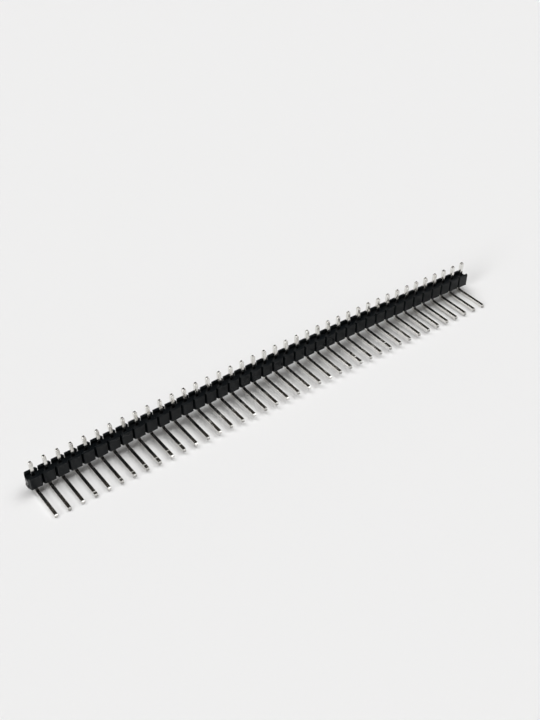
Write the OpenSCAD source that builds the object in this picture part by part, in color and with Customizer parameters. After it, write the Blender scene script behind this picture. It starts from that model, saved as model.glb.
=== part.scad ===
// Right-angle pin header strip: one moulded insulator with a row of bent square-wire contacts.
// X runs along the row, the mating legs point to -Y, and the strip stands on its legs at Z = 0.
// The origin is the middle of the strip's footprint.

/* [Strip] */
// Number of contacts in the row
pin_count = 40; // [4:1:40]
// Distance between neighbouring contacts
pitch = 2.54; // [2:0.01:3.2]
// How far the row has bowed upward between its two end contacts
bow_rise = 0.85; // [0:0.05:1.2]
// Share by which the bow leans towards the +X end
bow_skew = 0.4; // [0:0.05:0.5]

/* [Insulator] */
// Depth of the moulding across the row
body_depth = 2.4; // [2:0.05:3]
// Height of the moulding along the contacts
body_height = 2.5; // [2:0.05:3.5]
// Gap between the underside of the mating legs and the underside of the moulding
body_lift = 1.75; // [1.5:0.05:3]
// Width of a snap-off notch at the face of the moulding
notch_width = 0.5; // [0.3:0.05:0.9]
// Depth of a snap-off notch
notch_depth = 0.55; // [0.3:0.05:0.7]
// Depth of the channel that runs along the top between the front and rear ridges
channel_depth = 0.6; // [0.1:0.05:0.8]
// How far each wall of the channel stands outside the points of the notches
channel_margin = 0.05; // [0.05:0.05:0.2]
// Gap between a contact and each wall of its hole
hole_clearance = 0.005; // [0:0.005:0.03]
// Length of the torn web left where the strip was snapped from a longer one
stub_length = 0.2; // [0.1:0.05:0.4]
// Height of the torn web at its root
stub_height = 1.2; // [0.8:0.1:1.6]
// Depth of the torn web across the row
stub_depth = 0.8; // [0.5:0.1:1.1]

/* [Contacts] */
// Side of the square contact wire
pin_size = 0.64; // [0.5:0.01:0.7]
// Length of the tail above the moulding
tail_length = 2.75; // [2:0.05:6]
// Reach of the mating leg, from the axis of the tail to the tip
leg_reach = 7.7; // [5:0.1:12]
// Inner radius of the bend
bend_radius = 0.4; // [0.2:0.05:0.6]
// Length of the taper at each tip
tip_length = 0.25; // [0.2:0.05:0.8]
// Side of the small square flat that ends each tip
tip_size = 0.4; // [0.2:0.02:0.45]

/* [Hidden] */
$fn = 48;
// Overshoot of a cutter past the faces that it opens
cut_past = 1;
end_pin_x = (pin_count - 1) / 2 * pitch;
bend_centre_y = -pin_size / 2 - bend_radius;
bend_centre_z = pin_size + bend_radius;
body_top = body_lift + body_height;
channel_width = body_depth - 2 * notch_depth + 2 * channel_margin;
// Line of the tails, set so that the origin is midway between the leg tips and the rear face
row_y = (leg_reach - body_depth / 2) / 2;
hole_size = pin_size + 2 * hole_clearance;
// The tilted end legs stand on one lower edge, which this raises to the resting plane
floor_lift = pin_size / 2 * max(abs(sin(tilt_at(-end_pin_x))), abs(sin(tilt_at(end_pin_x))));

function pin_name(i) = str("pin_", i < 10 ? "0" : "", i);
function pin_x(i) = (i - (pin_count + 1) / 2) * pitch;
function joint_x(j) = (j - pin_count / 2) * pitch;
// Height and slope of the bowed row at distance x from its middle
function rise_at(x) = let (u = x / end_pin_x) bow_rise * (1 - u * u) * (1 + bow_skew * u);
function slope_at(x) =
    let (u = x / end_pin_x) bow_rise / end_pin_x * (bow_skew - 2 * u - 3 * bow_skew * u * u);
function tilt_at(x) = -atan(slope_at(x));
// Side-view point at a height above the bowed row, measured square to the row
function side_point(x, height) =
    [x + height * sin(tilt_at(x)), rise_at(x) + floor_lift + height * cos(tilt_at(x))];

// Sets its children upright on the bowed row at x, turned to stand square to it
module on_row(x) {
    translate([x, row_y, rise_at(x) + floor_lift]) rotate([0, tilt_at(x), 0]) children();
}

// Bar that follows the bowed row from one joint to another: one flat facet for each contact
module row_bar(low, high, depth, first_joint, last_joint) {
    underside = [for (j = [first_joint:last_joint]) side_point(joint_x(j), low)];
    top = [for (j = [last_joint:-1:first_joint]) side_point(joint_x(j), high)];
    translate([0, row_y + depth / 2, 0]) rotate([90, 0, 0])
        linear_extrude(depth) polygon(concat(underside, top));
}

// Cutter for the channel along the top, open at both ends of the strip
module top_channel() {
    row_bar(body_top - channel_depth, body_top + cut_past, channel_width, -1, pin_count + 1);
}

// Pair of V cutters, one for each long face of the moulding
module notch_pair() {
    // The V keeps its slope beyond the face
    past_width = notch_width * (notch_depth + cut_past) / notch_depth;
    for (side = [-1, 1])
        translate([0, 0, body_lift - cut_past]) linear_extrude(body_height + 2 * cut_past)
            polygon([
                [0, side * (body_depth / 2 - notch_depth)],
                [past_width / 2, side * (body_depth / 2 + cut_past)],
                [-past_width / 2, side * (body_depth / 2 + cut_past)]
            ]);
}

// Square hole through the moulding for one contact
module contact_hole() {
    translate([-hole_size / 2, -hole_size / 2, body_lift - cut_past])
        cube([hole_size, hole_size, body_height + 2 * cut_past]);
}

// Torn web on the -X end, thick at its foot and slanting back to the end face
module torn_stub() {
    on_row(joint_x(0)) translate([0, stub_depth / 2, body_lift]) rotate([90, 0, 0])
        linear_extrude(stub_depth)
            polygon([
                [stub_length, 0],
                [-stub_length / 2, 0],
                [-stub_length, stub_height / 3],
                [-stub_length / 2, stub_height * 2 / 3],
                [0, stub_height],
                [stub_length, stub_height]
            ]);
}

module insulator() {
    color([0.10, 0.10, 0.105]) union() {
        difference() {
            row_bar(body_lift, body_top, body_depth, 0, pin_count);
            top_channel();
            for (j = [0:pin_count]) on_row(joint_x(j)) notch_pair();
            for (i = [1:pin_count]) on_row(pin_x(i)) contact_hole();
        }
        torn_stub();
    }
}

// Straight square wire from the origin up, tapered on all four sides at its end
module tapered_wire(length) {
    half = pin_size / 2;
    side_view = [
        [-half, 0], [half, 0], [half, length - tip_length],
        [tip_size / 2, length], [-tip_size / 2, length], [-half, length - tip_length]
    ];
    intersection() {
        translate([0, half, 0]) rotate([90, 0, 0]) linear_extrude(pin_size) polygon(side_view);
        translate([-half, 0, 0]) rotate([90, 0, 90]) linear_extrude(pin_size) polygon(side_view);
    }
}

// Quarter turn of square wire that joins the tail to the leg
module wire_bend() {
    translate([0, bend_centre_y, bend_centre_z]) rotate([-90, 0, 90])
        rotate_extrude(angle = 90) translate([bend_radius, -pin_size / 2]) square(pin_size);
}

module contact_pin() {
    color([0.80, 0.79, 0.76]) union() {
        translate([0, 0, bend_centre_z]) tapered_wire(body_top + tail_length - bend_centre_z);
        wire_bend();
        translate([0, bend_centre_y, pin_size / 2]) rotate([90, 0, 0])
            tapered_wire(leg_reach + bend_centre_y);
    }
}

insulator();
for (i = [1:pin_count])
    on_row(pin_x(i)) contact_pin();
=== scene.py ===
"""Studio view of a right-angle pin header strip: finishes, floor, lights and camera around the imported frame."""
import math

import bmesh
import bpy
from mathutils import Matrix, Vector


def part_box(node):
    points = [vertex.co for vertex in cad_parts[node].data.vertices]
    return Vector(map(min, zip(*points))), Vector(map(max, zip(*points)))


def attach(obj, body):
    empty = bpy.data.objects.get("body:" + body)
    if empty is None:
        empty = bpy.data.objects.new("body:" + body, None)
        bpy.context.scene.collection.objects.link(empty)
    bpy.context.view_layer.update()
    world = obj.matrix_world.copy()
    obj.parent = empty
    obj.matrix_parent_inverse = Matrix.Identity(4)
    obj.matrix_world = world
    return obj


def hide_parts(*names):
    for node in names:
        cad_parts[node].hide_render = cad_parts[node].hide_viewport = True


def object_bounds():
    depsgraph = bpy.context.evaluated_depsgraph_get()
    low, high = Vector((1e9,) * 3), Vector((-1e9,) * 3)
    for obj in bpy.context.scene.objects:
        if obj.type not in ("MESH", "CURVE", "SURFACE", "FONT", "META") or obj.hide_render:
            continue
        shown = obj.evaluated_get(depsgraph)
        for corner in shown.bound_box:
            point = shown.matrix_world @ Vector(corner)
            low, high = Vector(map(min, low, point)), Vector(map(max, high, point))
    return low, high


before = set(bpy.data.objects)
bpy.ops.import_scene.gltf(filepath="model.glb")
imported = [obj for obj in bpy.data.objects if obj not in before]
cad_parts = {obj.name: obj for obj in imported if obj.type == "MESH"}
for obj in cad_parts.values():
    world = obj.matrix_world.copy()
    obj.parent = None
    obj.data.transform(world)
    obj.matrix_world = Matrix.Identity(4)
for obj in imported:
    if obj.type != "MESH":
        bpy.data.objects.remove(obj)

MM = 0.001

# Camera: where it looks, how far away it stands, and how it is turned
CAMERA_AIM = Vector((1.789, 5.595, 2.5)) * MM
CAMERA_DISTANCE = 206.549 * MM
CAMERA_AZIMUTH = math.radians(-35.858)
CAMERA_ELEVATION = math.radians(39.318)
CAMERA_ROLL = math.radians(-0.357)
CAMERA_LENS = 53.45
CAMERA_NEAR = 0.01

# Rounding of the sharp CAD edges
PIN_EDGE = 0.04 * MM
BODY_EDGE = 0.06 * MM
EDGE_SEGMENTS = 2
WELD_DISTANCE = 0.0005 * MM
FLAT_ANGLE = math.radians(0.5)
SHARP_ANGLE = math.radians(20)

# Tin plate: its darkest and lightest tone, its roughness, and the fine lines of the drawn wire
TIN_DARK = Vector((0.74, 0.725, 0.69))
TIN_LIGHT = Vector((0.82, 0.815, 0.79))
TIN_ROUGHNESS = 0.13
TONE_SCALE = 900
DRAW_SCALE = 9000
DRAW_STRETCH = 0.03
DRAW_STRENGTH = 0.12
DRAW_DEPTH = 0.004 * MM

# Where the contacts' look changes: the cut ends, and the front of the bends under the moulding, which is painted
# dark as shade
TIP_LENGTH = 0.3 * MM
# Bend faces below this height that face forward beyond this get the dark plate: painted shade under the moulding
BEND_HEIGHT = 1.7 * MM
BEND_FACING = -0.2
# Tips whose brighter cut end paints the glints they show
GLINTING_TIPS = (1, 3, 5, 10, 12, 14, 17, 20, 22, 24)

# Roughness of the cut ends and of the bends, and their brightness beside plain tin plate: the cut ends are duller
# metal, the brighter cut end is a painted glint, and the dark bends are painted shade
DULL_END = (0.45, 0.5)
# Brighter cut end: a painted glint on the listed tips
GLINT_END = (0.36, 0.8)
# Dark bend plate: painted shade under the moulding, not a duller finish
SHADED_BEND = (0.3, 0.2)

# Places of the second and third materials on a contact, and of the second on the moulding
CUT_END_INDEX = 1
BEND_INDEX = 2
TORN_INDEX = 1

# Pale flecks rubbed into some legs, by the contact's number, in millimetres from the tip
NICK_FROM_TIP = {4: 0.9, 6: 0.9, 7: 1.0, 8: 1.2, 9: 1.4, 10: 1.7, 11: 1.7, 27: 2.0, 30: 2.0}
NICK_WIDTH = 0.2 * MM
NICK_RAGGED = 0.06 * MM
NICK_SCALE = 5000
NICK_ROUGHNESS = 0.55

# Legs whose shading is tipped by a slope along the wire, so that their level tops don't mirror the tails
LEANING_LEGS = range(3, 14)
LEAN = -0.08

# The moulding: black plastic, and the web that was snapped at its low end
PLASTIC_COLOUR = (0.0034, 0.0048, 0.0058)
SCUFF_COLOUR = (0.011, 0.012, 0.013)
PLASTIC_IOR = 1.45
PLASTIC_SHINE = 0.24
PLASTIC_ROUGHNESS = (0.27, 0.37)
FLOW_SCALE = 350
FLOW_DEPTH = 0.03 * MM
SCUFF_SCALE = 2600
MOULD_GRAIN_SCALE = 14000
MOULD_GRAIN_DEPTH = 0.004 * MM
TORN_COLOUR = (0.012, 0.012, 0.012)
WHITENED_COLOUR = (0.35, 0.35, 0.34)
TORN_PATCH_SCALE = 2200
TORN_GRAIN_SCALE = 7000
TORN_GRAIN_DEPTH = 0.05 * MM
TORN_ROUGHNESS = (0.45, 0.75)
WEB_LENGTH = 0.35 * MM
WEB_FACE_AREA = 1.0 * MM * MM

# Studio: the floor, the pale walls and dark ceiling, and the heights (sines) where one fades to the other
FLOOR_SIZE = 4.0
FLOOR_ALBEDO = 0.8
FLOOR_GRAIN = 0.005
FLOOR_GRAIN_SCALE = 1800
FLOOR_ROUGHNESS = 0.9
WALL_COLOUR = (0.62, 0.61, 0.6)
CEILING_COLOUR = (0.034, 0.03, 0.027)
WALL_FADE = (0.1, 0.32)

# Broad distant lights: azimuth (0 from +Y, 90 from +X) and elevation in degrees, what each adds to the
# floor's brightness, and its width in degrees
SUNS = {
    "key": (316, 60, 0.22, 34),
    "right": (92, 61, 0.20, 34),
    "low_left": (255, 22, 0.14, 24),
    "top": (225, 80, 0.177, 34),
    "front_right": (132, 61, 0.08, 30),
}


def add_node(tree, kind, settings=None, inputs=None):
    """A shader node; an input given as a socket is linked, and any other value is set."""
    node = tree.nodes.new(kind)
    for name, value in (settings or {}).items():
        setattr(node, name, value)
    for name, value in (inputs or {}).items():
        if isinstance(value, bpy.types.NodeSocket):
            tree.links.new(value, node.inputs[name])
        else:
            node.inputs[name].default_value = value
    return node


def new_material(name):
    material = bpy.data.materials.new(name)
    material.use_nodes = True
    tree = material.node_tree
    return material, tree, tree.nodes["Principled BSDF"]


def noise(tree, scale, detail=3.0, stretch=(1, 1, 1), seed=0.0):
    """Noise over the object's own coordinates, in features per metre; a stretch under 1 draws it out."""
    place = add_node(tree, "ShaderNodeTexCoord")
    mapping = add_node(tree, "ShaderNodeMapping", inputs={
        "Vector": place.outputs["Object"], "Scale": stretch, "Location": (seed, seed, seed)})
    texture = add_node(tree, "ShaderNodeTexNoise", inputs={
        "Vector": mapping.outputs["Vector"], "Scale": scale, "Detail": detail})
    return texture.outputs["Fac"]


def object_y(tree):
    """The object's own Y at the shaded point."""
    place = add_node(tree, "ShaderNodeTexCoord")
    parts = add_node(tree, "ShaderNodeSeparateXYZ", inputs={"Vector": place.outputs["Object"]})
    return parts.outputs["Y"]


def remap(tree, value, low, high, new_low, new_high):
    node = add_node(tree, "ShaderNodeMapRange", inputs={
        "Value": value, "From Min": low, "From Max": high, "To Min": new_low, "To Max": new_high})
    return node.outputs["Result"]


def blend_colour(tree, fac, first, second):
    node = add_node(tree, "ShaderNodeMix", {"data_type": "RGBA"})
    tree.links.new(fac, node.inputs[0])
    node.inputs[6].default_value = (*first, 1)
    node.inputs[7].default_value = (*second, 1)
    return node.outputs[2]


def add_bump(tree, height, strength, distance, normal=None):
    node = add_node(tree, "ShaderNodeBump", inputs={
        "Height": height, "Strength": strength, "Distance": distance})
    if normal is not None:
        tree.links.new(normal, node.inputs["Normal"])
    return node.outputs["Normal"]


def plastic_material():
    """Black moulded plastic: fine mould texture, slow flow marks and a few pale scuffs."""
    material, tree, shader = new_material("moulded_black")
    flow = noise(tree, FLOW_SCALE, 2.0, (0.3, 1, 1))
    scuff = remap(tree, noise(tree, SCUFF_SCALE, 4.0, (1, 1, 0.35), 3.0), 0.66, 0.74, 0.0, 1.0)
    tree.links.new(blend_colour(tree, scuff, PLASTIC_COLOUR, SCUFF_COLOUR), shader.inputs["Base Color"])
    tree.links.new(remap(tree, flow, 0.35, 0.65, *PLASTIC_ROUGHNESS), shader.inputs["Roughness"])
    grain = add_bump(tree, noise(tree, MOULD_GRAIN_SCALE, 2.0), 0.25, MOULD_GRAIN_DEPTH)
    tree.links.new(add_bump(tree, flow, 0.3, FLOW_DEPTH, grain), shader.inputs["Normal"])
    shader.inputs["IOR"].default_value = PLASTIC_IOR
    shader.inputs["Specular IOR Level"].default_value = PLASTIC_SHINE
    return material


def torn_material():
    """The snapped web: rough and stress-whitened in patches."""
    material, tree, shader = new_material("torn_black")
    patch = remap(tree, noise(tree, TORN_PATCH_SCALE, 3.0, (1, 1, 1), 7.3), 0.55, 0.6, 0.0, 1.0)
    tree.links.new(blend_colour(tree, patch, TORN_COLOUR, WHITENED_COLOUR), shader.inputs["Base Color"])
    tree.links.new(remap(tree, patch, 0, 1, *TORN_ROUGHNESS), shader.inputs["Roughness"])
    grain = add_bump(tree, noise(tree, TORN_GRAIN_SCALE, 5.0), 0.8, TORN_GRAIN_DEPTH)
    tree.links.new(grain, shader.inputs["Normal"])
    return material


def nick_band(tree, nick_y):
    """1 inside a ragged band across the wire at nick_y, and 0 elsewhere."""
    ragged = remap(tree, noise(tree, NICK_SCALE, 2.0), 0, 1, -NICK_RAGGED, NICK_RAGGED)
    along = add_node(tree, "ShaderNodeMath", {"operation": "ADD"}, {0: object_y(tree), 1: ragged})
    band = add_node(tree, "ShaderNodeMath", {"operation": "COMPARE"}, {
        0: along.outputs["Value"], 1: nick_y, 2: NICK_WIDTH / 2})
    return band.outputs["Value"]


def drawn_lines(tree, stretch, seed, normal=None):
    return add_bump(tree, noise(tree, DRAW_SCALE, 2.0, stretch, seed), DRAW_STRENGTH, DRAW_DEPTH, normal)


def metal_material(name, roughness, brightness=1.0, nick_y=None, lean=0.0):
    """Tin plate over drawn wire: fine lines along it and slow changes of tone.

    nick_y is where a rubbed fleck crosses the wire, and lean tips the shading along it by that slope.
    """
    material, tree, shader = new_material(name)
    tone = noise(tree, TONE_SCALE, 2.0)
    mix = remap(tree, tone, 0.3, 0.7, 0, 1)
    colour = blend_colour(tree, mix, TIN_DARK * brightness, TIN_LIGHT * brightness)
    tree.links.new(colour, shader.inputs["Base Color"])
    shader.inputs["Metallic"].default_value = 1.0
    if nick_y is None:
        rubbed = remap(tree, tone, 0.3, 0.7, roughness * 1.25, roughness * 0.8)
    else:
        rubbed = remap(tree, nick_band(tree, nick_y), 0, 1, roughness, NICK_ROUGHNESS)
    tree.links.new(rubbed, shader.inputs["Roughness"])
    normal = drawn_lines(tree, (1, DRAW_STRETCH, 1), 0.0)
    normal = drawn_lines(tree, (1, 1, DRAW_STRETCH), 5.0, normal)
    if lean:
        normal = add_bump(tree, object_y(tree), 1.0, lean, normal)
    tree.links.new(normal, shader.inputs["Normal"])
    return material


def floor_material():
    """Matt white sweep with a barely visible paper grain."""
    material, tree, shader = new_material("pale_floor")
    dark, light = ([FLOOR_ALBEDO * (1 + side * FLOOR_GRAIN)] * 3 for side in (-1, 1))
    grain = noise(tree, FLOOR_GRAIN_SCALE, 3.0)
    tree.links.new(blend_colour(tree, grain, dark, light), shader.inputs["Base Color"])
    shader.inputs["Roughness"].default_value = FLOOR_ROUGHNESS
    shader.inputs["Specular IOR Level"].default_value = 0.0
    return material


def finished_copy(node, name, materials, edge):
    """A copy of a CAD node with clean flat faces and rounded edges, which stands for it."""
    shape = bmesh.new()
    shape.from_mesh(node.data)
    shape.transform(node.matrix_world)
    bmesh.ops.remove_doubles(shape, verts=shape.verts, dist=WELD_DISTANCE)
    bmesh.ops.dissolve_limit(shape, angle_limit=FLAT_ANGLE, verts=shape.verts, edges=shape.edges)
    for face in shape.faces:
        face.smooth = True
        face.material_index = 0
    mesh = bpy.data.meshes.new(name)
    shape.to_mesh(mesh)
    shape.free()
    if "custom_normal" in mesh.attributes:
        mesh.attributes.remove(mesh.attributes["custom_normal"])
    mesh.materials.clear()
    for material in materials:
        mesh.materials.append(material)
    piece = bpy.data.objects.new(name, mesh)
    bpy.context.scene.collection.objects.link(piece)
    bevel = piece.modifiers.new("rounded_edges", "BEVEL")
    bevel.width = edge
    bevel.segments = EDGE_SEGMENTS
    bevel.limit_method = "ANGLE"
    bevel.angle_limit = SHARP_ANGLE
    bevel.harden_normals = True
    return piece


def mark_faces(piece, index, chosen):
    """Gives the chosen faces the piece's material of that index."""
    for face in piece.data.polygons:
        if chosen(face):
            face.material_index = index


def contact_plate(name, number, leg_end_y, plain):
    """Plain tin plate, or a plate of its own for a contact with a fleck or with leaning shading."""
    if number not in NICK_FROM_TIP and number not in LEANING_LEGS:
        return plain
    nick_y = leg_end_y + NICK_FROM_TIP[number] * MM if number in NICK_FROM_TIP else None
    lean = LEAN if number in LEANING_LEGS else 0.0
    return metal_material("tin_plate_" + name, TIN_ROUGHNESS, nick_y=nick_y, lean=lean)


def finish_contact(name, node, plate, cut_end, bend):
    piece = finished_copy(node, name + "_finished", [plate, cut_end, bend], PIN_EDGE)
    tip_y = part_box(name)[0][1] + TIP_LENGTH
    bend_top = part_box(name)[0][2] + BEND_HEIGHT
    mark_faces(piece, CUT_END_INDEX, lambda face: face.center.y < tip_y)
    # The front of each bend under the moulding takes the dark plate: painted shade
    mark_faces(piece, BEND_INDEX, lambda face: (
        face.normal.y < BEND_FACING and face.center.y > tip_y and face.center.z < bend_top))
    return piece


def finish_insulator(name, node, plastic, torn):
    piece = finished_copy(node, name + "_finished", [plastic, torn], BODY_EDGE)
    web_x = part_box(name)[0][0] + WEB_LENGTH
    mark_faces(piece, TORN_INDEX, lambda face: face.center.x < web_x and face.area < WEB_FACE_AREA)
    return piece


def add_floor():
    bpy.ops.mesh.primitive_plane_add(size=FLOOR_SIZE, location=(0, 0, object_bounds()[0][2]))
    floor = bpy.context.object
    floor.name = "floor"
    floor.data.materials.append(floor_material())


def add_sun(name, azimuth, elevation, share, width):
    turn, rise = math.radians(azimuth), math.radians(elevation)
    towards = Vector((math.sin(turn) * math.cos(rise), math.cos(turn) * math.cos(rise), math.sin(rise)))
    light = bpy.data.lights.new(name, "SUN")
    light.energy = share * math.pi / (FLOOR_ALBEDO * math.sin(rise))
    light.angle = math.radians(width)
    lamp = bpy.data.objects.new(name, light)
    lamp.rotation_mode = "QUATERNION"
    lamp.rotation_quaternion = towards.to_track_quat("Z", "Y")
    bpy.context.scene.collection.objects.link(lamp)


def add_camera():
    level = math.cos(CAMERA_ELEVATION)
    back = Vector((
        math.sin(CAMERA_AZIMUTH) * level,
        -math.cos(CAMERA_AZIMUTH) * level,
        math.sin(CAMERA_ELEVATION),
    ))
    turn = back.to_track_quat("Z", "Y").to_matrix() @ Matrix.Rotation(CAMERA_ROLL, 3, "Z")
    data = bpy.data.cameras.new("camera")
    data.lens = CAMERA_LENS
    data.clip_start = CAMERA_NEAR
    camera = bpy.data.objects.new("camera", data)
    camera.matrix_world = Matrix.Translation(CAMERA_AIM + back * CAMERA_DISTANCE) @ turn.to_4x4()
    bpy.context.scene.collection.objects.link(camera)
    bpy.context.scene.camera = camera


def set_world():
    """A studio that is pale near the horizon and dark overhead."""
    world = bpy.data.worlds.new("studio")
    world.use_nodes = True
    tree = world.node_tree
    place = add_node(tree, "ShaderNodeTexCoord")
    parts = add_node(tree, "ShaderNodeSeparateXYZ", inputs={"Vector": place.outputs["Generated"]})
    rise = add_node(tree, "ShaderNodeMapRange", {"interpolation_type": "SMOOTHSTEP"}, {
        "Value": parts.outputs["Z"], "From Min": WALL_FADE[0], "From Max": WALL_FADE[1]})
    colour = blend_colour(tree, rise.outputs["Result"], WALL_COLOUR, CEILING_COLOUR)
    tree.links.new(colour, tree.nodes["Background"].inputs["Color"])
    bpy.context.scene.world = world


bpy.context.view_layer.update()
leg_end_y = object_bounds()[0][1]

plastic = plastic_material()
torn = torn_material()
plain_plate = metal_material("tin_plate", TIN_ROUGHNESS)
dull_end = metal_material("cut_end_dull", *DULL_END)
# A brighter copy of the cut-end metal for the listed tips: painted glints
glint_end = metal_material("cut_end_painted_glint", *GLINT_END)
# A dark copy of the plate for the bends: painted shade under the moulding
shaded_bend = metal_material("bend_painted_shade", *SHADED_BEND)
for name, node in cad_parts.items():
    if name.startswith("pin_"):
        number = int(name.split("_")[1])
        plate = contact_plate(name, number, leg_end_y, plain_plate)
        # The listed tips get the brighter cut end, a painted glint; the rest get the duller cut metal
        cut_end = glint_end if number in GLINTING_TIPS else dull_end
        piece = finish_contact(name, node, plate, cut_end, shaded_bend)
    else:
        piece = finish_insulator(name, node, plastic, torn)
    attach(piece, "root")
    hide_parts(name)

add_floor()
set_world()
for name, sun in SUNS.items():
    add_sun(name, *sun)
add_camera()
bpy.context.scene.view_settings.view_transform = "Standard"
